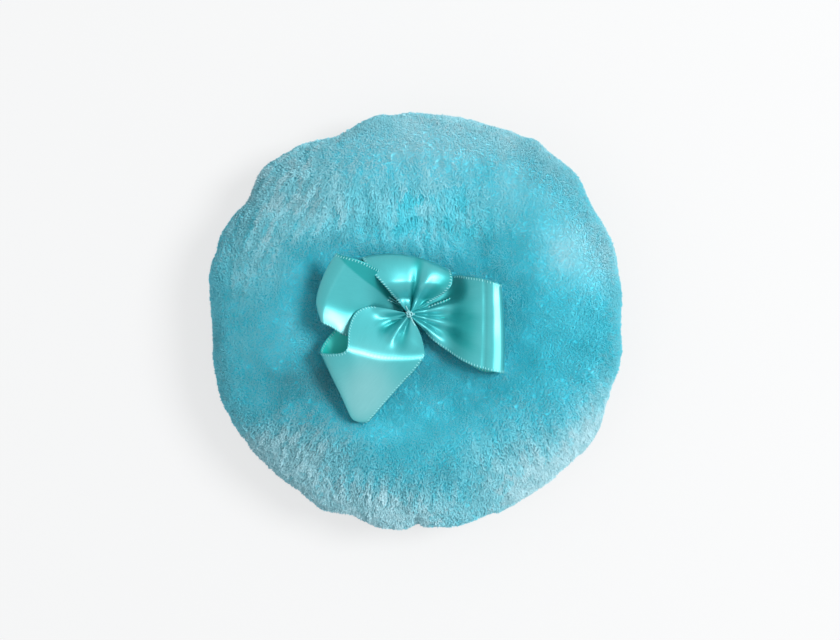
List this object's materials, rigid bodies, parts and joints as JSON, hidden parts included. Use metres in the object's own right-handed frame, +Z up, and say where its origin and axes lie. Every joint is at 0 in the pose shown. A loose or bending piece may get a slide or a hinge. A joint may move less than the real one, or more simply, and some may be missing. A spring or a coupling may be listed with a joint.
{
  "type": "powder puff",
  "caption": "Round plush powder puff with a soft fur-like pile on both faces and a satin ribbon bow gathered and tied to the middle of its top.",
  "frame": {"origin": "on the bow's axis, at the middle of the flat underside that the puff lies on", "axes": "+Z up through the bow, +X to the right and +Y to the top of the puff as seen from above"},
  "size_m": [0.101, 0.1007, 0.0408],
  "materials": {
    "pile": "soft cut pile",
    "ground_cloth": "matte knit",
    "fibrefill": "loose fibre",
    "seam_thread": "sewing thread",
    "thread": "sewing thread",
    "ribbon": "satin"
  },
  "bodies": {
    "puff": {"top_pile": "pile", "bottom_pile": "pile", "top_ground_cloth": "ground_cloth", "bottom_ground_cloth": "ground_cloth", "fibrefill_pad": "fibrefill", "rim_seam_thread": "seam_thread", "closing_thread": "thread", "anchor_thread": "thread", "anchor_knot": "thread"},
    "bow": {"left_loop": "ribbon", "gather_thread": "thread", "centre_knot": "thread"},
    "top_loop": {"top_loop": "ribbon"},
    "right_loop": {"right_loop": "ribbon"},
    "lower_loop": {"lower_loop": "ribbon"}
  },
  "joints": [
    {"name": "bow_turn", "type": "hinge", "parent": "puff", "child": "bow", "pos_m": [0, 0, 0.025], "axis": [0, 0, 1], "range_deg": [-20, 20], "stiffness_Nm_per_rad": 0.0001},
    {"name": "top_loop_lift", "type": "hinge", "parent": "bow", "child": "top_loop", "pos_m": [-0.00016, 0.00179, 0.0285], "axis": [0.9962, 0.0872, 0], "range_deg": [0, 25], "stiffness_Nm_per_rad": 0.00002},
    {"name": "right_loop_lift", "type": "hinge", "parent": "bow", "child": "right_loop", "pos_m": [0.00178, -0.00028, 0.0285], "axis": [-0.1564, -0.9877, 0], "range_deg": [0, 25], "stiffness_Nm_per_rad": 0.00002},
    {"name": "lower_loop_lift", "type": "hinge", "parent": "bow", "child": "lower_loop", "pos_m": [-0.0012, -0.00134, 0.0305], "axis": [-0.7431, 0.6691, 0], "range_deg": [0, 25], "stiffness_Nm_per_rad": 0.00002}
  ]
}
